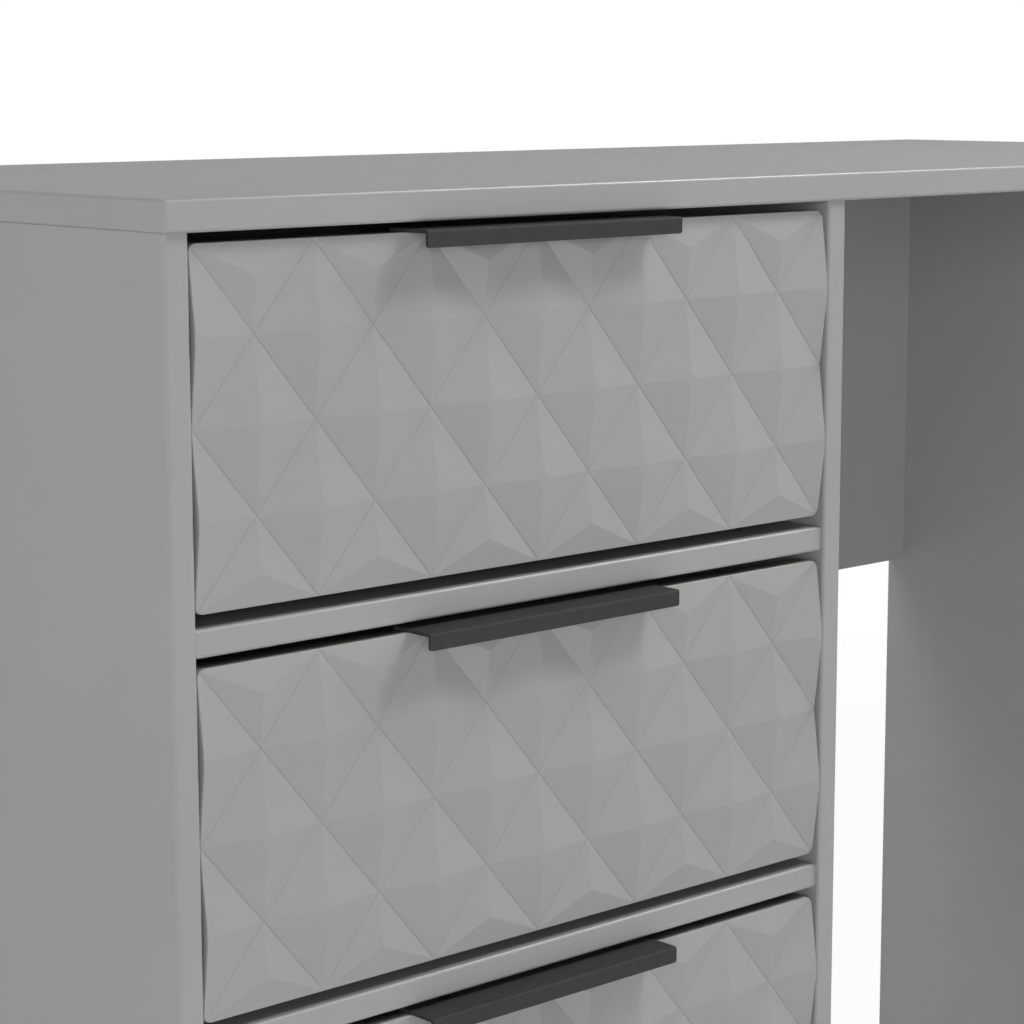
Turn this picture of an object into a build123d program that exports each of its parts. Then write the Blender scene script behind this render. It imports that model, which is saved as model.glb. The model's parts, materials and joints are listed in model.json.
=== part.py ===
# A writing desk with one pedestal of four drawers on its left and an open knee space on its right.
# The drawer fronts are milled with crossed V grooves into rows of flat-topped diamonds.
# The origin is on the floor under the middle of the outer box, which the handles' lips reach.
# The front looks along -Y.
import os

from build123d import *

os.makedirs("parts", exist_ok=True)

# Driving dimensions, in millimetres
desk_width = 936.0
desk_depth = 398.0
board = 12.5
top_thickness = 14.0
drawer_count = 4
opening_width = 390.0
opening_height = 165.4
plinth_height = 31.4
glide_height = 3.0
edge_radius = 1.6
overrun = 5.0

# How far the front edges lie behind or outside each other
side_overhang = 1.2
front_overhang = 2.7
rail_setback = 2.3
rail_depth = 64.0
plinth_setback = 20.0

# The knee space's back board
modesty_height = 294.8
modesty_inset = 2.0

# The pedestal's thin back, which slides into grooves
back_thickness = 3.0
back_inset = 16.0
back_groove_depth = 5.0
groove_clearance = 0.2

# Faceted drawer front
front_gap_side = 1.6
front_gap_top = 4.7
front_gap_bottom = 5.9
front_setback = 3.3
front_slab = 10.6
facet_relief = 4.2
facet_columns = 12
facet_rows = 4
facet_margin = 0.7
flat_share = 0.11
border_crest_share = 0.36
cutter_height_share = 1.3
rim_start_share = 0.9
upright_share = 0.01
front_corner_radius = 4.3
front_edge_radius = 0.35

# Lip handle, folded from strip
handle_length = 156.0
handle_thickness = 1.6
handle_reach = 15.4
lip_height = 7.8
handle_corner_radius = 1.3
handle_bend_radius = 1.2

# Drawer box
box_side_gap = 12.5
box_board = 12.0
box_lift = 16.0
box_height = 118.0
box_depth = 350.0
box_bottom_thickness = 3.0
box_bottom_lift = 10.0
box_groove_depth = 6.0

# Roller runners, bent from sheet
sheet = 1.2
runner_setback = 2.0
channel_reach = 6.0
flange_gap = 0.6
foot_reach = 10.0
roller_radius = 8.5
roller_width = 7.2
roller_clearance = 0.3
roller_end_distance = 15.0
roller_bore_clearance = 0.3
axle_radius = 2.5
axle_head_radius = 4.0
axle_head_thickness = 0.8
axle_head_gap = 0.8
axle_head_clearance = 0.4
roller_rim_chamfer = 0.8

# Fasteners
dowel_radius = 3.0
dowel_in_face = 8.5
dowel_in_edge = 19.0
fastener_clearance = 0.1
cam_radius = 7.5
cam_depth = 9.5
cam_distance = 24.0
cam_slot_width = 2.0
cam_slot_length = 9.0
cam_slot_depth = 2.5
bolt_radius = 3.0
screw_radius = 1.75
screw_head_radius = 3.6
runner_screw_head_radius = 2.8
front_screw_bite = 8.0
handle_screw_length = 14.0
runner_screw_length = 11.0
glide_radius = 5.5
glide_chamfer = 1.0
joint_inset = 45.0

# Planes of the carcass across the width
left_outer = -desk_width / 2 + side_overhang
left_inner = left_outer + board
divider_inner = left_inner + opening_width
divider_outer = divider_inner + board
right_outer = desk_width / 2 - side_overhang
right_inner = right_outer - board
pedestal_middle = (left_inner + divider_inner) / 2

# Planes of the carcass from front to back
handle_projection = handle_reach - front_overhang - front_setback
top_front = (handle_projection - desk_depth) / 2
top_back = top_front + desk_depth
panel_front = top_front + front_overhang
rail_front = panel_front + rail_setback
rail_back = rail_front + rail_depth
back_panel_rear = top_back - back_inset
back_panel_front = back_panel_rear - back_thickness
modesty_rear = top_back - modesty_inset
modesty_front = modesty_rear - board
groove_plane = panel_front + front_setback
front_back_face = groove_plane + front_slab

# Levels of the carcass
drawer_pitch = opening_height + board
bottom_panel_under = glide_height + plinth_height
bottom_panel_top = bottom_panel_under + board
top_under = bottom_panel_under + drawer_count * drawer_pitch
top_upper = top_under + top_thickness
opening_top = top_under
opening_bottom = opening_top - opening_height


def keep(piece, name):
    """Labels a finished piece and writes it to its own file."""
    piece.part.label = name
    export_step(piece.part, f"parts/{name}.step")


def box_between(low, high, mode=Mode.ADD):
    """Adds or cuts the box between two corners in the part that is open."""
    size = Vector(*high) - Vector(*low)
    with Locations((Vector(*high) + Vector(*low)) / 2):
        Box(abs(size.X), abs(size.Y), abs(size.Z), mode=mode)


def rod(place, radius, start, end, mode=Mode.ADD):
    """Adds or cuts a round bar along a plane's normal, from start to end."""
    with Locations(place.offset(start)):
        Cylinder(radius, end - start, align=(Align.CENTER, Align.CENTER, Align.MIN), mode=mode)


def countersunk_screw(place, head_radius, head_height, length, growth=0, mode=Mode.ADD):
    """Adds a flush screw that points along a plane's normal, or cuts its hole when it is grown."""
    rod(place, screw_radius + growth, 0, length + growth, mode=mode)
    with Locations(place):
        Cone(
            head_radius + growth,
            screw_radius + growth,
            head_height,
            align=(Align.CENTER, Align.CENTER, Align.MIN),
            mode=mode,
        )


# Where dowels, cams and screws go: a plane on the joint whose normal points into the face
dowel_places = []
cam_places = []
bolt_places = []
runner_screw_places = []


def add_dowel(point, into_face):
    """Notes a dowel on the joint plane."""
    dowel_places.append(Plane(origin=point, z_dir=into_face))


def add_cam(point, into_face, cam_side):
    """Notes a cam in a board's flat side and the bolt that runs to it from the panel."""
    into_face = Vector(*into_face)
    cam_side = Vector(*cam_side)
    bolt_places.append(Plane(origin=point, z_dir=into_face))
    cam_centre = Vector(*point) - into_face * cam_distance + cam_side * (board / 2)
    cam_places.append(Plane(origin=cam_centre, x_dir=into_face, z_dir=cam_side))


# The top sits on dowels in the three upright panels
for panel_outer in (left_outer, divider_inner, right_inner):
    panel_middle = panel_outer + board / 2
    for depth in (panel_front + joint_inset, (panel_front + top_back) / 2, top_back - joint_inset):
        add_dowel((panel_middle, depth, top_under), (0, 0, 1))

# Each rail and the bottom panel meet the pedestal's two panels with dowels and a cam
shelf_levels = [top_under - count * drawer_pitch + board / 2 for count in range(1, drawer_count + 1)]
for level in shelf_levels:
    for face, into_face in ((left_inner, (-1, 0, 0)), (divider_inner, (1, 0, 0))):
        add_dowel((face, rail_front + rail_depth / 4, level), into_face)
        add_cam((face, rail_front + rail_depth / 2, level), into_face, (0, 0, -1))
        add_dowel((face, rail_front + rail_depth * 3 / 4, level), into_face)
for face, into_face in ((left_inner, (-1, 0, 0)), (divider_inner, (1, 0, 0))):
    bottom_rear_joint = back_panel_front - joint_inset
    add_dowel((face, bottom_rear_joint - rail_depth / 2, shelf_levels[-1]), into_face)
    add_cam((face, bottom_rear_joint, shelf_levels[-1]), into_face, (0, 0, -1))

# The modesty panel has cams on its rear side, where a sitter does not see them
modesty_middle = (modesty_front + modesty_rear) / 2
for face, into_face in ((divider_outer, (-1, 0, 0)), (right_inner, (1, 0, 0))):
    for level in (top_under - joint_inset, top_under - modesty_height + joint_inset):
        add_cam((face, modesty_middle, level), into_face, (0, 1, 0))
    add_dowel((face, modesty_middle, top_under - modesty_height / 2), into_face)

# Each plinth board has a dowel at each end
plinth_front = panel_front + plinth_setback
plinth_rear = back_panel_front
for plinth_middle in (plinth_front + board / 2, plinth_rear - board / 2):
    for face, into_face in ((left_inner, (-1, 0, 0)), (divider_inner, (1, 0, 0))):
        add_dowel((face, plinth_middle, glide_height + plinth_height / 2), into_face)

# The top drawer's box and its runners, which stand along the pedestal's two walls
runner_walls = ((left_inner, 1), (divider_inner, -1))
box_bottom = opening_bottom + box_lift
box_rear = front_back_face + box_depth
roller_level = box_bottom + roller_clearance + roller_radius
runner_front = front_back_face + runner_setback
front_roller_depth = runner_front + roller_end_distance
rear_roller_depth = box_rear - roller_end_distance

# Each cabinet runner is held by three screws through its web
runner_screw_share = (0.15, 0.5, 0.9)
for count in range(drawer_count):
    for share in runner_screw_share:
        depth = runner_front + share * box_depth
        level = roller_level - count * drawer_pitch
        runner_screw_places.append(Plane(origin=(left_inner + sheet, depth, level), z_dir=(-1, 0, 0)))
        runner_screw_places.append(Plane(origin=(divider_inner - sheet, depth, level), z_dir=(1, 0, 0)))

# Bores that the boards' fasteners fill
with BuildPart() as bores:
    for place in dowel_places:
        bore_radius = dowel_radius + fastener_clearance
        rod(place, bore_radius, -dowel_in_edge - fastener_clearance, dowel_in_face + fastener_clearance)
    for place in bolt_places:
        rod(place, bolt_radius + fastener_clearance, -cam_distance, dowel_in_face + fastener_clearance)
    for place in cam_places:
        rod(place, cam_radius + fastener_clearance, -cam_depth - fastener_clearance, overrun)
    for place in runner_screw_places:
        rod(place, screw_radius + fastener_clearance, -overrun, runner_screw_length + fastener_clearance)


def finished_boards(name, corner_pairs, eased_along, grooves=()):
    """Foil-faced boards with their long edges eased, their fastener bores and their grooves."""
    with BuildPart() as piece:
        for low, high in corner_pairs:
            box_between(low, high)
        fillet(ShapeList(edge for axis in eased_along for edge in piece.edges().filter_by(axis)), edge_radius)
        for groove_low, groove_high in grooves:
            box_between(groove_low, groove_high, mode=Mode.SUBTRACT)
        add(bores.part, mode=Mode.SUBTRACT)
    keep(piece, name)


# The top and the three uprights
finished_boards(
    "desk_top",
    [((-desk_width / 2, top_front, top_under), (desk_width / 2, top_back, top_upper))],
    (Axis.X, Axis.Y, Axis.Z),
)
back_groove_front = back_panel_front - groove_clearance
back_groove_rear = back_panel_rear + groove_clearance
back_groove_foot = bottom_panel_under - groove_clearance
left_groove = (
    (left_inner - back_groove_depth - groove_clearance, back_groove_front, back_groove_foot),
    (left_inner + overrun, back_groove_rear, top_under + overrun),
)
divider_groove = (
    (divider_inner - overrun, back_groove_front, back_groove_foot),
    (divider_inner + back_groove_depth + groove_clearance, back_groove_rear, top_under + overrun),
)
finished_boards(
    "left_side_panel",
    [((left_outer, panel_front, glide_height), (left_inner, top_back, top_under))],
    (Axis.Z,),
    [left_groove],
)
finished_boards(
    "pedestal_divider_panel",
    [((divider_inner, panel_front, glide_height), (divider_outer, top_back, top_under))],
    (Axis.Z,),
    [divider_groove],
)
finished_boards(
    "right_end_panel",
    [((right_inner, panel_front, glide_height), (right_outer, top_back, top_under))],
    (Axis.Z,),
)

# Boards between the uprights
finished_boards(
    "modesty_panel",
    [((divider_outer, modesty_front, top_under - modesty_height), (right_inner, modesty_rear, top_under))],
    (Axis.X,),
)
for rail_name, level in zip(("upper_rail", "middle_rail", "lower_rail"), shelf_levels):
    rail_under = level - board / 2
    rail_upper = level + board / 2
    finished_boards(
        rail_name,
        [((left_inner, rail_front, rail_under), (divider_inner, rail_back, rail_upper))],
        (Axis.X,),
    )
finished_boards(
    "pedestal_bottom_panel",
    [((left_inner, rail_front, bottom_panel_under), (divider_inner, back_panel_front, bottom_panel_top))],
    (Axis.X,),
)
finished_boards(
    "plinth_boards",
    [
        ((left_inner, start, glide_height), (divider_inner, start + board, bottom_panel_under))
        for start in (plinth_front, plinth_rear - board)
    ],
    (Axis.X,),
)

# The thin hardboard back stands in its grooves
with BuildPart() as pedestal_back:
    box_between(
        (left_inner - back_groove_depth, back_panel_front, bottom_panel_under),
        (divider_inner + back_groove_depth, back_panel_rear, top_under),
    )
keep(pedestal_back, "pedestal_back_panel")

# Carcass fasteners
with BuildPart() as dowels:
    for place in dowel_places:
        rod(place, dowel_radius, -dowel_in_edge, dowel_in_face)
keep(dowels, "beech_dowels")

with BuildPart() as cam_bolts:
    for place in bolt_places:
        rod(place, bolt_radius, -cam_distance + cam_radius + fastener_clearance, dowel_in_face)
keep(cam_bolts, "cam_bolts")

with BuildPart() as cam_locks:
    for place in cam_places:
        rod(place, cam_radius, -cam_depth, 0)
        with Locations(place.offset(-cam_slot_depth / 2)):
            Box(cam_slot_length, cam_slot_width, cam_slot_depth, mode=Mode.SUBTRACT)
            Box(cam_slot_width, cam_slot_length, cam_slot_depth, mode=Mode.SUBTRACT)
keep(cam_locks, "cam_locks")

with BuildPart() as runner_screws:
    for place in runner_screw_places:
        countersunk_screw(place, runner_screw_head_radius, sheet, runner_screw_length)
keep(runner_screws, "runner_screws")

# Nail-on glides under the front and rear of each upright
with BuildPart() as floor_glides:
    for panel_outer in (left_outer, divider_inner, right_inner):
        for depth in (panel_front + joint_inset, top_back - joint_inset):
            rod(Plane(origin=(panel_outer + board / 2, depth, 0)), glide_radius, 0, glide_height)
    chamfer(floor_glides.edges().group_by(Axis.Z)[0], glide_chamfer)
keep(floor_glides, "floor_glides")

# The faceted front, drawn flat: X right, Y up and Z out of its face
front_width = opening_width - 2 * front_gap_side
front_height = opening_height - front_gap_top - front_gap_bottom
front_bottom = opening_bottom + front_gap_bottom
front_top = front_bottom + front_height
facet_width = (front_width - 2 * facet_margin) / facet_columns
facet_height = (front_height - 2 * facet_margin) / facet_rows
groove_spacing = facet_width * facet_height / (facet_width**2 + facet_height**2) ** 0.5
groove_half_width = groove_spacing * (1 - flat_share)
lattice_left = -facet_width * facet_columns / 2
lattice_top = facet_height * facet_rows / 2
groove_length = 2 * (front_width + front_height)
border_run = facet_height * border_crest_share / (1 - border_crest_share) * (1 - flat_share)
cutter_height = facet_relief * cutter_height_share

# The grooves run both ways along the diagonals of a grid of half diamonds
groove_planes = []
for lean, first in ((-1, 0), (1, -facet_rows)):
    along = Vector(lean * facet_width, -facet_height, 0).normalized()
    for step in range(first, first + facet_columns + facet_rows + 1, 2):
        crossing = Vector(lattice_left + step * facet_width, lattice_top, front_slab)
        groove_start = crossing - along * (groove_length / 2)
        groove_planes.append(Plane(origin=groove_start, x_dir=along.cross(Vector(0, 0, 1)), z_dir=along))

# A bevel rises from groove level along the top edge and along the bottom edge
border_planes = [
    Plane(origin=(-front_width * side, lattice_top * side, front_slab), x_dir=(0, side, 0), z_dir=(side, 0, 0))
    for side in (-1, 1)
]

# Screws of one drawer: through the inner front, down through the handle and up through the runners
screw_spread_share = 0.35
front_screw_level_share = 0.27
foot_screw_share = (0.12, 0.88)
inner_front_rear = front_back_face + box_board
front_screw_places = [
    Plane(
        origin=(
            pedestal_middle + side * front_width * screw_spread_share,
            inner_front_rear,
            box_bottom + box_height / 2 + rise * box_height * front_screw_level_share,
        ),
        z_dir=(0, -1, 0),
    )
    for side in (-1, 1)
    for rise in (-1, 1)
]
handle_top = front_top + handle_thickness
handle_screw_places = [
    Plane(
        origin=(
            pedestal_middle + side * handle_length * screw_spread_share,
            front_back_face - front_slab / 2,
            handle_top,
        ),
        z_dir=(0, 0, -1),
    )
    for side in (-1, 1)
]
foot_screw_places = [
    Plane(
        origin=(
            wall + inward * (box_side_gap + box_board / 2),
            front_back_face + share * box_depth,
            box_bottom - sheet,
        )
    )
    for wall, inward in runner_walls
    for share in foot_screw_share
]


def drawer_screw_set(growth=0, mode=Mode.ADD):
    """Adds every screw of the drawer, or cuts the holes for them."""
    for place in front_screw_places:
        length = box_board + front_screw_bite
        countersunk_screw(place, screw_head_radius, handle_thickness, length, growth, mode)
    for place in handle_screw_places:
        countersunk_screw(place, screw_head_radius, handle_thickness, handle_screw_length, growth, mode)
    for place in foot_screw_places:
        countersunk_screw(place, runner_screw_head_radius, sheet, box_bottom_lift, growth, mode)


with BuildPart() as drawer_screws:
    drawer_screw_set()

with BuildPart() as flat_front:
    with BuildSketch():
        RectangleRounded(front_width, front_height, front_corner_radius)
    extrude(amount=front_slab + facet_relief)
    with BuildSketch(*groove_planes):
        with BuildLine():
            Polyline(
                (0, 0),
                (groove_half_width * cutter_height_share, -cutter_height),
                (-groove_half_width * cutter_height_share, -cutter_height),
                close=True,
            )
        make_face()
    extrude(amount=groove_length, mode=Mode.SUBTRACT)
    with BuildSketch(*border_planes):
        with BuildLine():
            Polyline(
                (0, 0),
                (-border_run * cutter_height_share, cutter_height),
                (facet_margin + overrun, cutter_height),
                (facet_margin + overrun, 0),
                close=True,
            )
        make_face()
    extrude(amount=2 * front_width, mode=Mode.SUBTRACT)
    walls = flat_front.faces().filter_by(lambda face: abs(face.normal_at().Z) < upright_share)
    wall_edges = ShapeList(edge for wall in walls for edge in wall.edges())
    rim = wall_edges.filter_by_position(Axis.Z, front_slab * rim_start_share, front_slab + facet_relief)
    fillet(rim, front_edge_radius)

# The front stood up in its place behind the carcass's front edges
front_plane = Plane(
    origin=(pedestal_middle, front_back_face, (front_bottom + front_top) / 2),
    x_dir=(1, 0, 0),
    z_dir=(0, -1, 0),
)
with BuildPart() as drawer_front:
    with Locations(front_plane):
        add(flat_front.part)
    drawer_screw_set(fastener_clearance, Mode.SUBTRACT)

# The handle lies on the front's top edge and its lip hangs before the facets
lip_front = groove_plane - handle_reach
with BuildPart() as drawer_handle:
    handle_end = pedestal_middle - handle_length / 2
    with BuildSketch(Plane(origin=(handle_end, 0, 0), x_dir=(0, 1, 0), z_dir=(1, 0, 0))):
        with BuildLine():
            Polyline(
                (front_back_face, front_top),
                (front_back_face, handle_top),
                (lip_front, handle_top),
                (lip_front, handle_top - lip_height),
                (lip_front + handle_thickness, handle_top - lip_height),
                (lip_front + handle_thickness, front_top),
                close=True,
            )
        make_face()
        outer_bend = vertices().sort_by(Axis.X).group_by(Axis.X)[0].sort_by(Axis.Y)[-1]
        fillet(outer_bend, handle_bend_radius)
    extrude(amount=handle_length)
    lip_corners = drawer_handle.edges().filter_by(Axis.Y).group_by(Axis.Z)[0]
    fillet(lip_corners, handle_corner_radius)
    for place in handle_screw_places:
        countersunk_screw(
            place, screw_head_radius, handle_thickness, handle_screw_length, fastener_clearance, Mode.SUBTRACT
        )

# The drawer box holds its thin bottom in grooves, and the bottom runs on under the back
box_left = left_inner + box_side_gap
box_right = divider_inner - box_side_gap
box_top = box_bottom + box_height
bottom_under = box_bottom + box_bottom_lift
bottom_upper = bottom_under + box_bottom_thickness
inner_left = box_left + box_board
inner_right = box_right - box_board
groove_top = bottom_upper + groove_clearance
groove_reach = box_groove_depth + groove_clearance

with BuildPart() as drawer_sides:
    for outer, inner, inward in ((box_left, inner_left, 1), (box_right, inner_right, -1)):
        box_between((outer, front_back_face, box_bottom), (inner, box_rear, box_top))
        box_between(
            (inner - inward * groove_reach, front_back_face - overrun, bottom_under),
            (inner + inward * overrun, box_rear + overrun, groove_top),
            mode=Mode.SUBTRACT,
        )
    drawer_screw_set(fastener_clearance, Mode.SUBTRACT)

with BuildPart() as drawer_inner_front:
    box_between((inner_left, front_back_face, box_bottom), (inner_right, inner_front_rear, box_top))
    box_between(
        (inner_left - overrun, inner_front_rear - groove_reach, bottom_under),
        (inner_right + overrun, inner_front_rear + overrun, groove_top),
        mode=Mode.SUBTRACT,
    )
    drawer_screw_set(fastener_clearance, Mode.SUBTRACT)

with BuildPart() as drawer_back:
    box_between((inner_left, box_rear - box_board, bottom_upper), (inner_right, box_rear, box_top))

with BuildPart() as drawer_bottom:
    box_between(
        (inner_left - box_groove_depth, inner_front_rear - box_groove_depth, bottom_under),
        (inner_right + box_groove_depth, box_rear, bottom_upper),
    )

# Runner sections: across from the cabinet's side, and up from the drawer box's lower edge
track_height = 2 * (roller_radius + roller_clearance)
track_upper = track_height + sheet
web_start = box_side_gap - sheet
flange_end = channel_reach + flange_gap
foot_end = box_side_gap + foot_reach
channel_section = (
    (0, -sheet),
    (channel_reach, -sheet),
    (channel_reach, 0),
    (sheet, 0),
    (sheet, track_height),
    (channel_reach, track_height),
    (channel_reach, track_upper),
    (0, track_upper),
)
drawer_runner_section = (
    (web_start, -sheet),
    (foot_end, -sheet),
    (foot_end, 0),
    (box_side_gap, 0),
    (box_side_gap, track_upper),
    (flange_end, track_upper),
    (flange_end, track_height),
    (web_start, track_height),
)

# Axles reach across the gap: the front one from the cabinet, the rear one from the drawer
front_head_outer = web_start - axle_head_gap
front_head_inner = front_head_outer - axle_head_thickness
rear_head_outer = sheet + axle_head_gap
rear_head_inner = rear_head_outer + axle_head_thickness
front_roller_end = front_head_inner - axle_head_clearance
rear_roller_start = rear_head_inner + axle_head_clearance


def bent_runner(section, wall, inward, start_depth):
    """Adds a sheet profile that runs back from its front end."""
    section_plane = Plane(
        origin=(wall, start_depth, box_bottom), x_dir=(inward, 0, 0), z_dir=(0, -inward, 0)
    )
    with BuildSketch(section_plane) as profile:
        with BuildLine():
            Polyline(*section, close=True)
        make_face()
    extrude(profile.sketch, amount=-inward * box_depth)


def roller_pair(depth, start, end):
    """Adds the left and right rollers that stand at one depth."""
    for wall, inward in runner_walls:
        place = Plane(origin=(wall, depth, roller_level), z_dir=(inward, 0, 0))
        rod(place, roller_radius, start, end)
    chamfer(edges().filter_by(GeomType.CIRCLE), roller_rim_chamfer)
    for wall, inward in runner_walls:
        place = Plane(origin=(wall, depth, roller_level), z_dir=(inward, 0, 0))
        rod(place, axle_radius + roller_bore_clearance, start - overrun, end + overrun, Mode.SUBTRACT)


# The channels on the cabinet's walls, each with its front axle riveted in
with BuildPart() as cabinet_runners:
    for wall, inward in runner_walls:
        bent_runner(channel_section, wall, inward, runner_front)
        axle_place = Plane(origin=(wall, front_roller_depth, roller_level), z_dir=(inward, 0, 0))
        rod(axle_place, axle_radius, 0, front_head_outer)
        rod(axle_place, axle_head_radius, front_head_inner, front_head_outer)
        for share in runner_screw_share:
            depth = runner_front + share * box_depth
            screw_place = Plane(
                origin=(wall + inward * sheet, depth, roller_level), z_dir=(-inward, 0, 0)
            )
            countersunk_screw(
                screw_place, runner_screw_head_radius, sheet, 2 * sheet, fastener_clearance, Mode.SUBTRACT
            )

# The profiles under the drawer's sides, each with its rear axle riveted in
with BuildPart() as drawer_runners:
    for wall, inward in runner_walls:
        bent_runner(drawer_runner_section, wall, inward, front_back_face)
        axle_place = Plane(origin=(wall, rear_roller_depth, roller_level), z_dir=(inward, 0, 0))
        rod(axle_place, axle_radius, rear_head_outer, box_side_gap)
        rod(axle_place, axle_head_radius, rear_head_outer, rear_head_inner)
    drawer_screw_set(fastener_clearance, Mode.SUBTRACT)

with BuildPart() as front_rollers:
    roller_pair(front_roller_depth, front_roller_end - roller_width, front_roller_end)

with BuildPart() as rear_rollers:
    roller_pair(rear_roller_depth, rear_roller_start, rear_roller_start + roller_width)

# The same pieces stand in each of the openings
drawer_pieces = {
    "drawer_front": drawer_front,
    "drawer_handle": drawer_handle,
    "drawer_sides": drawer_sides,
    "drawer_inner_front": drawer_inner_front,
    "drawer_back": drawer_back,
    "drawer_bottom": drawer_bottom,
    "drawer_runners": drawer_runners,
    "drawer_screws": drawer_screws,
    "rear_rollers": rear_rollers,
    "front_rollers": front_rollers,
    "cabinet_runners": cabinet_runners,
}
for count in range(drawer_count):
    for piece_name, pattern_piece in drawer_pieces.items():
        with BuildPart() as placed_piece:
            with Locations((0, 0, -count * drawer_pitch)):
                add(pattern_piece.part)
        keep(placed_piece, f"{piece_name}_{count + 1}")
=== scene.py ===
import json
import math

import bpy
import numpy as np
from mathutils import Matrix, Vector


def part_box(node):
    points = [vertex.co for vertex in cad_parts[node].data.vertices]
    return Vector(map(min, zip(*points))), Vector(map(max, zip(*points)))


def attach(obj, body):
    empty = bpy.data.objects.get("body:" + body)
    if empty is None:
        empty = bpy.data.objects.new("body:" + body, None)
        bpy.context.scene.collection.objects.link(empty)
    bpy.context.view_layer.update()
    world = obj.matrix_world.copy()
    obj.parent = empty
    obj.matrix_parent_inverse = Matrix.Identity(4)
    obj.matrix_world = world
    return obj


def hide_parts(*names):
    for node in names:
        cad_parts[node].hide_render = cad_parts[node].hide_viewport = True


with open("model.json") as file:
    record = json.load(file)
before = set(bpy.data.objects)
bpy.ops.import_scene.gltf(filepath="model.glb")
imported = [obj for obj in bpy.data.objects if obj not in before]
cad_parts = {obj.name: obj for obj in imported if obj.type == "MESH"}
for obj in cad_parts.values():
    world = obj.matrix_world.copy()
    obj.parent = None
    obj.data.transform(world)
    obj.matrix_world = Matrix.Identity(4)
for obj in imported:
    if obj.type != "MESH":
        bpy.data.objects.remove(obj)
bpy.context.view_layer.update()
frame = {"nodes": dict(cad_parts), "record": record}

# Units: the scene is in metres, and the desk's own sizes are written in millimetres
MM = 0.001

# Faceted fronts, as the cutter leaves them under the foil: half diamonds in columns and rows
FACET_COLUMNS = 12
FACET_ROWS = 4
FACET_RELIEF = 4.2 * MM
# The margin round the facets is rounded off into the rim
FACET_MARGIN = 0.45 * MM
FRONT_CORNER_RADIUS = 4.3 * MM
# Shares of a cell: the flat left on a wall's tip, and how far a border facet's crest reaches inward
FLAT_TIP_SHARE = 0.11
BORDER_CREST_SHARE = 0.36
# How far the foil softens a crest, and the fine line that the cutter's tip leaves in each groove
CREST_SOFTNESS = 0.1 * MM
GROOVE_LINE_HALF_WIDTH = 0.3 * MM
GROOVE_LINE_DEPTH = 0.3 * MM
RIM_STEPS = 6
# Where the mesh has its rows: along half of a wall's foot, and from the foot up to the tip
FOOT_SHARES = (0.0, 0.006, 0.02, 0.04, 0.07, 0.11, 0.2, 0.35, 0.5)
RISE_SHARES = (
    0.0, 0.0125, 0.03, 0.055, 0.085, 0.14, 0.25, 0.4,
    0.55, 0.7, 0.8, 0.86, 0.89, 0.92, 0.96, 1.0,
)
# Points that agree to this many digits, in cells, are one point of the mesh
SAME_POINT_DIGITS = 7
# Keeps a division from meeting zero
TINY = 1e-9

# The sRGB curve: straight up to its knee, then a power of the value with an offset
SRGB_KNEE = 0.04045
SRGB_SLOPE = 12.92
SRGB_OFFSET = 0.055
SRGB_POWER = 2.4
# Noise is spread over this middle part of its range, where most of its values lie
NOISE_LOW = 0.3
NOISE_HIGH = 0.7

# Camera, fitted to the photograph's edges with the desk's own sizes. Lens and sensor in millimetres.
CAMERA_PLACE = Vector((-1101.7, -1109.4, 811.2)) * MM
CAMERA_TURN = math.radians(41.9016)
CAMERA_DROP = math.radians(9.1843)
CAMERA_ROLL = math.radians(0.1197)
CAMERA_LENS = 96.239
SENSOR_WIDTH = 36.0

# Soft boxes: place, aim, width and height in metres, and power in watts. No gloss mirrors them.
SOFT_BOXES = {
    "key_right": ((2.6, -0.9, 2.1), (-0.3, -0.2, 0.45), 1.0, 1.0, 29.0),
    "high_right": ((0.7, -0.9, 2.0), (0.0, -0.2, 0.5), 0.5, 0.5, 17.0),
    "front_left": ((-2.0, -2.6, 0.9), (0.1, 0.0, 0.4), 1.6, 1.2, 43.0),
    "front": ((-0.4, -3.4, 0.9), (-0.2, 0.0, 0.4), 2.2, 1.6, 3.0),
    "side_left": ((-3.0, 0.8, 1.2), (-0.47, 0.1, 0.4), 2.0, 2.0, 12.5),
    "side_left_high": ((-2.0, 0.9, 2.0), (-0.47, 0.1, 0.5), 1.0, 1.0, 15.0),
    "back_top": ((0.2, 2.6, 2.4), (-0.1, 0.0, 0.7), 2.6, 1.2, 2.0),
    "back_right": ((2.2, 2.8, 0.8), (0.1, 0.1, 0.4), 1.6, 1.2, 50.0),
    "overhead": ((0.4, -0.7, 3.0), (-0.2, -0.2, 0.45), 1.0, 0.6, 4.0),
}
# A small bright box that only shows in glosses: it draws the bright line along the top's front edge
GLINT_BOX = ("glint_high", (1.83, -0.95, 2.65), (-0.2, -0.2, 0.76), 0.6, 0.6, 70.0)
# The white surround: how bright it lights, and how bright it mirrors
WORLD_LIGHT = 0.1
WORLD_SHEEN = 0.4
# The floor's width in metres, and the share of its shaded paint in what the camera sees of it
FLOOR_SIZE = 24.0
FLOOR_SHADOW_SHARE = 0.12


def linear(hex_colour):
    """A colour written as sRGB hex, turned to the linear values that a shader takes."""
    written = np.array([int(hex_colour[start:start + 2], 16) / 255 for start in (1, 3, 5)])
    curved = ((written + SRGB_OFFSET) / (1 + SRGB_OFFSET)) ** SRGB_POWER
    return (*np.where(written <= SRGB_KNEE, written / SRGB_SLOPE, curved).tolist(), 1.0)


def add_node(tree, kind, inputs=None, **settings):
    """Adds a shader node, sets it up and feeds its inputs with values or with other nodes' outputs."""
    node = tree.nodes.new(kind)
    for name, value in settings.items():
        setattr(node, name, value)
    for socket, value in (inputs or {}).items():
        if isinstance(value, bpy.types.NodeSocket):
            tree.links.new(value, node.inputs[socket])
        else:
            node.inputs[socket].default_value = value
    return node


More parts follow.
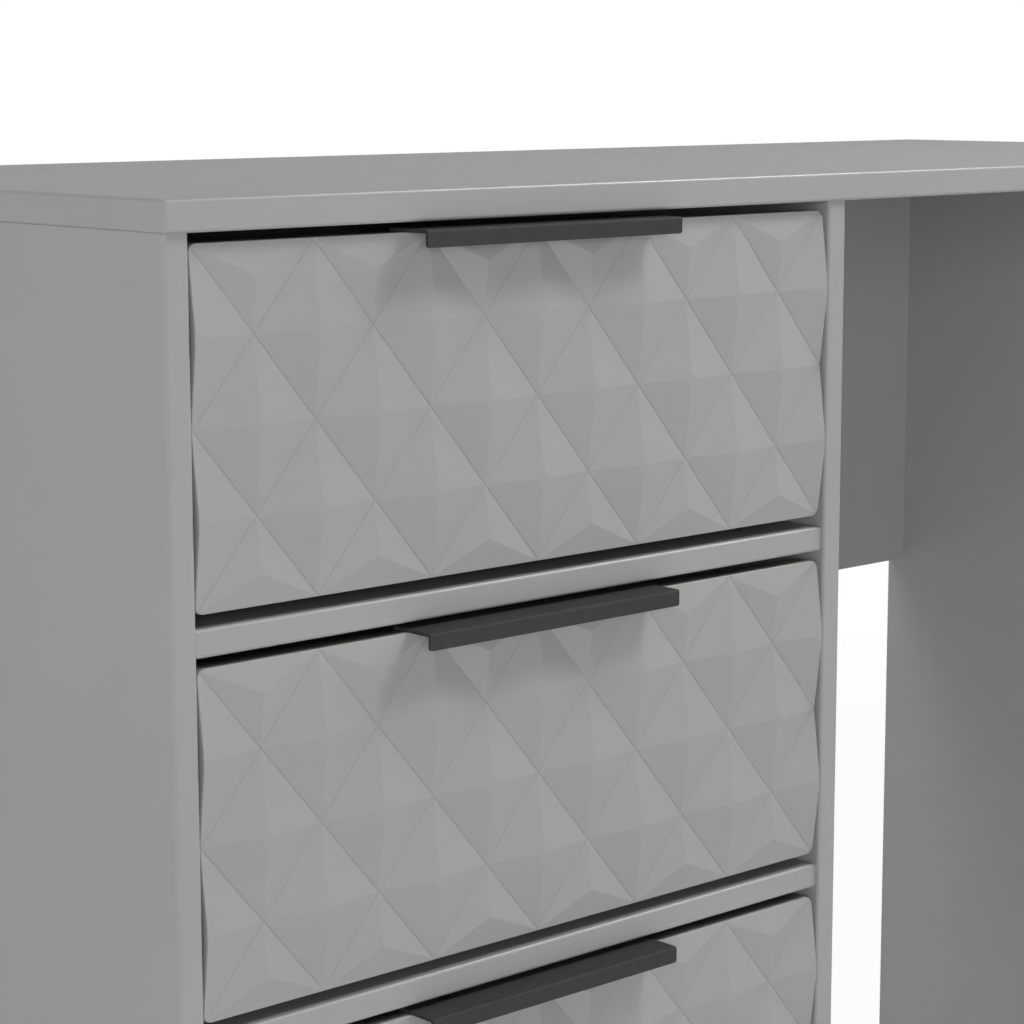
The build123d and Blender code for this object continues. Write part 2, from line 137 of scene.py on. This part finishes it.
def begin_material(name, roughness, shader_inputs=None):
    """A material whose shader feeds its output. Returns it with its tree, shader and coordinates."""
    inputs = {"Roughness": roughness, **(shader_inputs or {})}
    material = bpy.data.materials.new(name)
    material.use_nodes = True
    tree = material.node_tree
    tree.nodes.clear()
    shader = add_node(tree, "ShaderNodeBsdfPrincipled", inputs)
    add_node(tree, "ShaderNodeOutputMaterial", {"Surface": shader.outputs["BSDF"]})
    place = add_node(tree, "ShaderNodeTexCoord").outputs["Object"]
    return material, tree, shader, place


def grain(tree, place, size, detail=2.0, stretch=(1.0, 1.0, 1.0)):
    """Noise whose lumps are about size metres across, stretched along the axes."""
    turned = add_node(tree, "ShaderNodeMapping", {"Vector": place, "Scale": stretch})
    noise = add_node(
        tree, "ShaderNodeTexNoise",
        {"Vector": turned.outputs["Vector"], "Scale": 1 / size, "Detail": detail},
    )
    return noise.outputs["Fac"]


def between(tree, factor, low, high):
    """A number that runs from low to high as the factor crosses the middle of its range."""
    spread = add_node(
        tree, "ShaderNodeMapRange",
        {"Value": factor, "From Min": NOISE_LOW, "From Max": NOISE_HIGH, "To Min": low, "To Max": high},
    )
    return spread.outputs["Result"]


def colour_between(tree, factor, first, second):
    """A colour that runs from one hex colour to another as the factor crosses the middle of its range."""
    mix = add_node(tree, "ShaderNodeMix", data_type="RGBA")
    tree.links.new(between(tree, factor, 0.0, 1.0), mix.inputs["Factor"])
    mix.inputs["A"].default_value = linear(first)
    mix.inputs["B"].default_value = linear(second)
    return mix.outputs["Result"]


def finish_shader(tree, shader, colour, roughness, height, depth):
    """Gives the shader its colour and roughness, and a bump that is depth metres high."""
    tree.links.new(colour, shader.inputs["Base Color"])
    tree.links.new(roughness, shader.inputs["Roughness"])
    bump = add_node(tree, "ShaderNodeBump", {"Height": height, "Distance": depth, "Strength": 1.0})
    tree.links.new(bump.outputs["Normal"], shader.inputs["Normal"])


def vinyl_foil(name, telegraph_depth):
    """Satin vinyl foil, calendered with a fine matt emboss and glued over board."""
    # The eye sees one even dusty grey with a soft sheen. The emboss, and the board's own slight
    # waves that telegraph through, only break the highlights
    material, tree, shader, place = begin_material(name, 0.32, {"Specular IOR Level": 0.2})
    colour = colour_between(tree, grain(tree, place, 90 * MM), "#999b98", "#9b9d9a")
    roughness = between(tree, grain(tree, place, 14 * MM), 0.3, 0.34)
    emboss = grain(tree, place, 0.7 * MM, detail=1.0)
    waves = grain(tree, place, 9 * MM, detail=2.0)
    height = add_node(tree, "ShaderNodeMath", {0: emboss, 1: waves}, operation="ADD")
    finish_shader(tree, shader, colour, roughness, height.outputs["Value"], telegraph_depth)
    return material


def powder_coat():
    """Black powder coat, baked on the folded handle strip: fine orange peel, no sparkle."""
    material, tree, shader, place = begin_material("black_powder_coat", 0.6, {"Specular IOR Level": 0.05})
    colour = colour_between(tree, grain(tree, place, 5 * MM), "#3c3c3c", "#404040")
    roughness = between(tree, grain(tree, place, 3 * MM), 0.55, 0.65)
    finish_shader(tree, shader, colour, roughness, grain(tree, place, 0.5 * MM, detail=2.0), 0.02 * MM)
    return material


def linen_foil():
    """Paper foil printed and embossed with a fine linen weave, on the drawer boxes' boards."""
    # Threads 0.8 mm apart would be too fine to show, so they are drawn 1.6 mm apart
    material, tree, shader, place = begin_material("linen_paper_foil", 0.55)
    across = grain(tree, place, 1.6 * MM, stretch=(1.0, 1.0, 0.08))
    along = grain(tree, place, 1.6 * MM, stretch=(0.08, 0.08, 1.0))
    weave = add_node(tree, "ShaderNodeMath", {0: across, 1: along}, operation="ADD")
    halved = add_node(tree, "ShaderNodeMath", {0: weave.outputs["Value"], 1: 0.5}, operation="MULTIPLY")
    colour = colour_between(tree, halved.outputs["Value"], "#b9b7b1", "#c6c4be")
    roughness = between(tree, grain(tree, place, 20 * MM), 0.5, 0.6)
    finish_shader(tree, shader, colour, roughness, halved.outputs["Value"], 0.05 * MM)
    return material


def hardboard():
    """Hardboard, pressed from wood fibre and lacquered pale: finely mottled, with a faint tooth."""
    material, tree, shader, place = begin_material("lacquered_hardboard", 0.6)
    fibre = grain(tree, place, 2.5 * MM, detail=6.0)
    colour = colour_between(tree, fibre, "#b4b2ad", "#bdbbb6")
    roughness = between(tree, grain(tree, place, 30 * MM), 0.5, 0.65)
    finish_shader(tree, shader, colour, roughness, fibre, 0.04 * MM)
    return material


def beech():
    """Fluted beech dowel rod: pale pinkish wood with short dark ray flecks."""
    material, tree, shader, place = begin_material("beech_wood", 0.6)
    flecks = grain(tree, place, 0.9 * MM, detail=3.0, stretch=(1.0, 1.0, 0.15))
    colour = colour_between(tree, flecks, "#b98f68", "#cfa97f")
    roughness = between(tree, flecks, 0.55, 0.7)
    finish_shader(tree, shader, colour, roughness, flecks, 0.05 * MM)
    return material


def zinc_plate(name, first, second):
    """Bright zinc plate on die-cast and turned fasteners: bluish metal with a cloudy passivated bloom."""
    material, tree, shader, place = begin_material(name, 0.32, {"Metallic": 1.0})
    cloud = grain(tree, place, 2 * MM, detail=4.0)
    colour = colour_between(tree, cloud, first, second)
    roughness = between(tree, cloud, 0.26, 0.42)
    finish_shader(tree, shader, colour, roughness, grain(tree, place, 0.4 * MM), 0.01 * MM)
    return material


def epoxy_coat():
    """White epoxy powder coat on the roll-formed runner steel: a smooth, slightly pooled film."""
    material, tree, shader, place = begin_material("white_epoxy_coat", 0.4)
    colour = colour_between(tree, grain(tree, place, 25 * MM), "#d6d5cf", "#dcdbd6")
    roughness = between(tree, grain(tree, place, 6 * MM), 0.34, 0.46)
    finish_shader(tree, shader, colour, roughness, grain(tree, place, 1.2 * MM), 0.02 * MM)
    return material


def nylon():
    """Moulded nylon rollers: milky off-white with a waxy sheen."""
    material, tree, shader, place = begin_material("moulded_nylon", 0.38)
    colour = colour_between(tree, grain(tree, place, 4 * MM), "#dcd8cb", "#e3dfd3")
    roughness = between(tree, grain(tree, place, 1.5 * MM), 0.32, 0.45)
    finish_shader(tree, shader, colour, roughness, grain(tree, place, 0.6 * MM), 0.015 * MM)
    return material


def polypropylene():
    """Moulded polypropylene glides: dark and scuffed dull where they rub on the floor."""
    material, tree, shader, place = begin_material("moulded_polypropylene", 0.5)
    colour = colour_between(tree, grain(tree, place, 3 * MM), "#2a2a2a", "#323231")
    roughness = between(tree, grain(tree, place, 1 * MM), 0.45, 0.65)
    finish_shader(tree, shader, colour, roughness, grain(tree, place, 0.5 * MM), 0.03 * MM)
    return material


SLOT_MATERIALS = {
    "grey_foil_board": vinyl_foil("grey_vinyl_foil_on_chipboard", 0.006 * MM),
    "grey_foil_front": vinyl_foil("grey_vinyl_foil_pressed_on_fibreboard", 0.004 * MM),
    "black_metal": powder_coat(),
    "drawer_box_board": linen_foil(),
    "hardboard": hardboard(),
    "beech": beech(),
    "zinc_steel": zinc_plate("zinc_plate", "#b4b6ba", "#c9cbce"),
    "white_coated_steel": epoxy_coat(),
    "roller_nylon": nylon(),
    "glide_plastic": polypropylene(),
}

# Every solid of the frame takes the finish that its record names
node_slots = {row["node"]: row["material_slot"] for row in frame["record"]["subparts"]}
for node_name, node_object in frame["nodes"].items():
    node_object.data.materials.clear()
    node_object.data.materials.append(SLOT_MATERIALS[node_slots[node_name]])


def soft_least(first, second, softness):
    """The lesser of two heights, with a parabola of the given softness where they meet."""
    overlap = np.maximum(softness - np.abs(first - second), 0.0) / softness
    return np.minimum(first, second) - overlap * overlap * softness / 4


def facet_height(column, row, cell_width, cell_height, border_run):
    """Height over groove level: V walls rise from both sets of diagonals, a bevel from top and bottom.

    column and row count cells from the front's upper left corner. A wall's height is the relief times
    the distance from its groove, in cells, over the share that a wall takes before the flat tip. The
    lowest of them counts, and a fine V line is cut along each groove.
    """
    wall_share = 1 - FLAT_TIP_SHARE
    falling = np.abs(np.mod(column - row + 1, 2) - 1)
    rising = np.abs(np.mod(column + row + 1, 2) - 1)
    from_border = np.minimum(row, FACET_ROWS - row) * cell_height
    wall_rise = FACET_RELIEF / wall_share
    walls = soft_least(wall_rise * falling, wall_rise * rising, CREST_SOFTNESS)
    bevelled = soft_least(walls, FACET_RELIEF * from_border / border_run, CREST_SOFTNESS)
    height = soft_least(bevelled, np.full_like(bevelled, FACET_RELIEF), CREST_SOFTNESS)
    spacing = cell_width * cell_height / math.hypot(cell_width, cell_height)
    from_groove = np.minimum(falling, rising) * spacing
    line_share = np.clip(1 - from_groove / GROOVE_LINE_HALF_WIDTH, 0.0, 1.0)
    return height - GROOVE_LINE_DEPTH * line_share


def triangle_patches():
    """The flat facets as corner triples, in cells: a wall foot's two ends, then its highest corner."""
    # A groove falls through every other cell and rises through the rest
    patches = []
    for column in range(FACET_COLUMNS):
        for row in range(FACET_ROWS):
            falls = (column + row) % 2 == 0
            falling = [(column, row), (column + 1, row + 1)]
            rising = [(column + 1, row), (column, row + 1)]
            foot, tips = (falling, rising) if falls else (rising, falling)
            for tip in tips:
                if 0 < tip[1] < FACET_ROWS:
                    patches.append((*foot, tip))
                    continue
                inward = BORDER_CREST_SHARE if tip[1] == 0 else -BORDER_CREST_SHARE
                crest_end = (tip[0], tip[1] + inward)
                on_border = foot[0] if foot[0][1] == tip[1] else foot[1]
                patches.append((*foot, crest_end))
                patches.append((on_border, tip, crest_end))
    return np.array(patches, float)


def facet_grid():
    """The facets' points in cells, and their faces, in rows along each wall's foot up to its tip.

    A point is the foot's start plus s times the foot, drawn towards the top corner by t.
    """
    half = np.array(FOOT_SHARES)
    s = np.concatenate([half, 1 - half[-2::-1]])
    t = np.array(RISE_SHARES)
    corners = triangle_patches()
    first, second, top = corners[:, 0], corners[:, 1], corners[:, 2]
    across, up = second - first, top - first
    clockwise = across[:, 0] * up[:, 1] - across[:, 1] * up[:, 0] > 0
    swap = clockwise[:, None]
    first, second = np.where(swap, second, first), np.where(swap, first, second)
    foot = first[:, None, :] + s[None, :, None] * (second - first)[:, None, :]
    grid = (1 - t)[None, :, None, None] * foot[:, None] + t[None, :, None, None] * top[:, None, None, :]
    points, index = np.unique(
        np.round(grid.reshape(-1, 2), SAME_POINT_DIGITS), axis=0, return_inverse=True,
    )
    index = index.reshape(grid.shape[:3])
    lower, upper = index[:, :-2], index[:, 1:-1]
    quads = np.stack([lower[..., :-1], lower[..., 1:], upper[..., 1:], upper[..., :-1]], axis=-1)
    caps = np.stack([index[:, -2, :-1], index[:, -2, 1:], index[:, -1, 1:]], axis=-1)
    return points, quads.reshape(-1, 4), caps.reshape(-1, 3)


def outline_loop(points):
    """The grid's border points, anticlockwise as seen from the front: foot, right, head and left."""
    column, row = points.T
    low = np.flatnonzero((row == FACET_ROWS) & (column < FACET_COLUMNS))
    right = np.flatnonzero((column == FACET_COLUMNS) & (row > 0))
    high = np.flatnonzero((row == 0) & (column > 0))
    left = np.flatnonzero((column == 0) & (row < FACET_ROWS))
    return np.concatenate([
        low[np.argsort(column[low])],
        right[np.argsort(-row[right])],
        high[np.argsort(-column[high])],
        left[np.argsort(row[left])],
    ])


def rounded_corners(flat, half_size, radius):
    """Each corner square of the plate is drawn in to a quarter disc: its square rings become arcs.

    Returns the drawn points and, for each point by the border, the direction that leads outwards.
    """
    start = half_size - radius
    reach = np.maximum((np.abs(flat) - start) / radius, 0.0)
    length = np.maximum(np.linalg.norm(reach, axis=1, keepdims=True), TINY)
    turned = reach.max(axis=1, keepdims=True) / length
    in_corner = (reach > 0).all(axis=1, keepdims=True)
    drawn = np.sign(flat) * (start + reach * turned * radius)
    outward = reach / length * np.sign(flat)
    return np.where(in_corner, drawn, flat), outward


def faceted_front(name, node):
    """A pressed front: the facets, a rounded rim round the outline, plain walls and a flat back.

    Points are worked out as a place on the front's flat plane and a height raised from it. The rim is a
    quarter round of FACET_MARGIN, and one more ring and a middle point make the walls and the back.
    """
    low, high = (np.array(corner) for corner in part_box(node))
    width, depth, height = high - low
    slab = depth - FACET_RELIEF
    half_size = np.array([width, height]) / 2 - FACET_MARGIN
    cell = 2 * half_size / (FACET_COLUMNS, FACET_ROWS)
    border_run = cell[1] * BORDER_CREST_SHARE / (1 - BORDER_CREST_SHARE) * (1 - FLAT_TIP_SHARE)
    points, quads, caps = facet_grid()
    raised = facet_height(points[:, 0], points[:, 1], cell[0], cell[1], border_run)
    flat = np.column_stack([points[:, 0] * cell[0], -points[:, 1] * cell[1]])
    flat = flat + (-half_size[0], half_size[1])
    flat, outward = rounded_corners(flat, half_size, FRONT_CORNER_RADIUS - FACET_MARGIN)
    # Outside the face's border the rim turns down in rings, and the last ring lies in the back
    loop = outline_loop(points)
    turn = np.linspace(0.0, math.pi / 2, RIM_STEPS + 1)[1:]
    rim_flat = flat[loop] + outward[loop] * (FACET_MARGIN * np.sin(turn))[:, None, None]
    rim_raised = raised[loop] - (FACET_MARGIN * (1 - np.cos(turn)))[:, None]
    ring_flat = np.concatenate([rim_flat.reshape(-1, 2), rim_flat[-1], [(0.0, 0.0)]])
    ring_raised = np.concatenate([rim_raised.ravel(), np.full(len(loop), -slab), [-slab]])
    all_flat = np.concatenate([flat, ring_flat])
    all_raised = np.concatenate([raised, ring_raised])
    # The front stands upright and faces forward, so a raised point has a smaller second coordinate
    middle = (low + high) / 2
    places = np.column_stack([
        middle[0] + all_flat[:, 0],
        high[1] - slab - all_raised,
        middle[2] + all_flat[:, 1],
    ])
    # The walls join each ring to the next, and a fan round the middle point closes the back
    count = len(loop)
    added_rings = len(points) + np.arange((RIM_STEPS + 1) * count).reshape(-1, count)
    rings = np.concatenate([loop[None], added_rings])
    inner, outer = rings[:-1], rings[1:]
    next_inner, next_outer = np.roll(inner, -1, axis=1), np.roll(outer, -1, axis=1)
    walls = np.stack([next_inner, inner, outer, next_outer], axis=-1).reshape(-1, 4)
    hub = np.full(count, len(places) - 1)
    back = np.column_stack([hub, np.roll(rings[-1], -1), rings[-1]])
    mesh = bpy.data.meshes.new(name)
    faces = [*quads.tolist(), *caps.tolist(), *walls.tolist(), *back.tolist()]
    mesh.from_pydata(places.tolist(), [], faces)
    smooth = np.ones(len(mesh.polygons), bool)
    smooth[-count:] = False
    mesh.polygons.foreach_set("use_smooth", smooth)
    mesh.materials.append(SLOT_MATERIALS["grey_foil_front"])
    piece = bpy.data.objects.new(name, mesh)
    bpy.context.scene.collection.objects.link(piece)
    return piece


bodies = frame["record"]["behaviour"]["bodies"]
for body_name, members in bodies.items():
    for member in members:
        if member.startswith("drawer_front_"):
            front = faceted_front(f"faceted_{member}", member)
            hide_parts(member)
            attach(front, body_name)


def surround_level(tree, lit, mirrored):
    """Full white for the camera, the mirrored level in a gloss, and the lit level as a light."""
    path = add_node(tree, "ShaderNodeLightPath").outputs
    sheen = add_node(
        tree, "ShaderNodeMapRange",
        {"Value": path["Is Glossy Ray"], "To Min": lit, "To Max": mirrored},
    )
    level = add_node(
        tree, "ShaderNodeMath",
        {0: sheen.outputs["Result"], 1: path["Is Camera Ray"]}, operation="MAXIMUM",
    )
    return level.outputs["Value"]


def pale_floor():
    """A pale floor under everything, which the camera sees nearly white, with a trace of shadow."""
    mesh = bpy.data.meshes.new("floor")
    reach = FLOOR_SIZE / 2
    corners = [(-reach, -reach, 0), (reach, -reach, 0), (reach, reach, 0), (-reach, reach, 0)]
    mesh.from_pydata(corners, [], [(0, 1, 2, 3)])
    floor = bpy.data.objects.new("floor", mesh)
    bpy.context.scene.collection.objects.link(floor)
    material = bpy.data.materials.new("matt_white_floor_paint")
    material.use_nodes = True
    tree = material.node_tree
    tree.nodes.clear()
    paint = add_node(tree, "ShaderNodeBsdfDiffuse", {"Color": linear("#f4f4f2")})
    white = add_node(
        tree, "ShaderNodeEmission",
        {"Color": (1, 1, 1, 1), "Strength": surround_level(tree, 0.0, WORLD_SHEEN)},
    )
    share = add_node(
        tree, "ShaderNodeMath",
        {0: surround_level(tree, 0.0, 1.0), 1: 1 - FLOOR_SHADOW_SHARE}, operation="MULTIPLY",
    )
    mix = add_node(
        tree, "ShaderNodeMixShader",
        {"Fac": share.outputs["Value"], 1: paint.outputs["BSDF"], 2: white.outputs["Emission"]},
    )
    add_node(tree, "ShaderNodeOutputMaterial", {"Surface": mix.outputs["Shader"]})
    mesh.materials.append(material)


def white_world():
    """An even white surround: full white where it is seen, and dimmer as a light."""
    world = bpy.data.worlds.new("studio")
    world.use_nodes = True
    tree = world.node_tree
    tree.nodes.clear()
    background = add_node(
        tree, "ShaderNodeBackground",
        {"Color": (1, 1, 1, 1), "Strength": surround_level(tree, WORLD_LIGHT, WORLD_SHEEN)},
    )
    add_node(tree, "ShaderNodeOutputWorld", {"Surface": background.outputs["Background"]})
    bpy.context.scene.world = world


def soft_box(name, place, aim, width, height, power):
    """A rectangular soft box that faces its aim."""
    lamp = bpy.data.lights.new(name, "AREA")
    lamp.shape = "RECTANGLE"
    lamp.size = width
    lamp.size_y = height
    lamp.energy = power
    holder = bpy.data.objects.new(name, lamp)
    holder.location = place
    holder.rotation_mode = "QUATERNION"
    holder.rotation_quaternion = (Vector(aim) - Vector(place)).to_track_quat("-Z", "Y")
    bpy.context.scene.collection.objects.link(holder)
    return holder


def photo_camera():
    """The photograph's camera: turned to the right, dropped and rolled a little, with no shift."""
    forward = Vector((
        math.sin(CAMERA_TURN) * math.cos(CAMERA_DROP),
        math.cos(CAMERA_TURN) * math.cos(CAMERA_DROP),
        -math.sin(CAMERA_DROP),
    ))
    level = Vector((math.cos(CAMERA_TURN), -math.sin(CAMERA_TURN), 0.0))
    down = forward.cross(level)
    right = level * math.cos(CAMERA_ROLL) + down * math.sin(CAMERA_ROLL)
    up = level * math.sin(CAMERA_ROLL) - down * math.cos(CAMERA_ROLL)
    camera_data = bpy.data.cameras.new("photo_camera")
    camera_data.lens = CAMERA_LENS
    camera_data.sensor_width = SENSOR_WIDTH
    camera = bpy.data.objects.new("photo_camera", camera_data)
    turned = Matrix((right, up, -forward)).transposed().to_4x4()
    camera.matrix_world = Matrix.Translation(CAMERA_PLACE) @ turned
    bpy.context.scene.collection.objects.link(camera)
    bpy.context.scene.camera = camera


pale_floor()
white_world()
for box_name, settings in SOFT_BOXES.items():
    soft_box(box_name, *settings).visible_glossy = False
soft_box(*GLINT_BOX).visible_diffuse = False
photo_camera()
bpy.context.scene.view_settings.view_transform = "Standard"
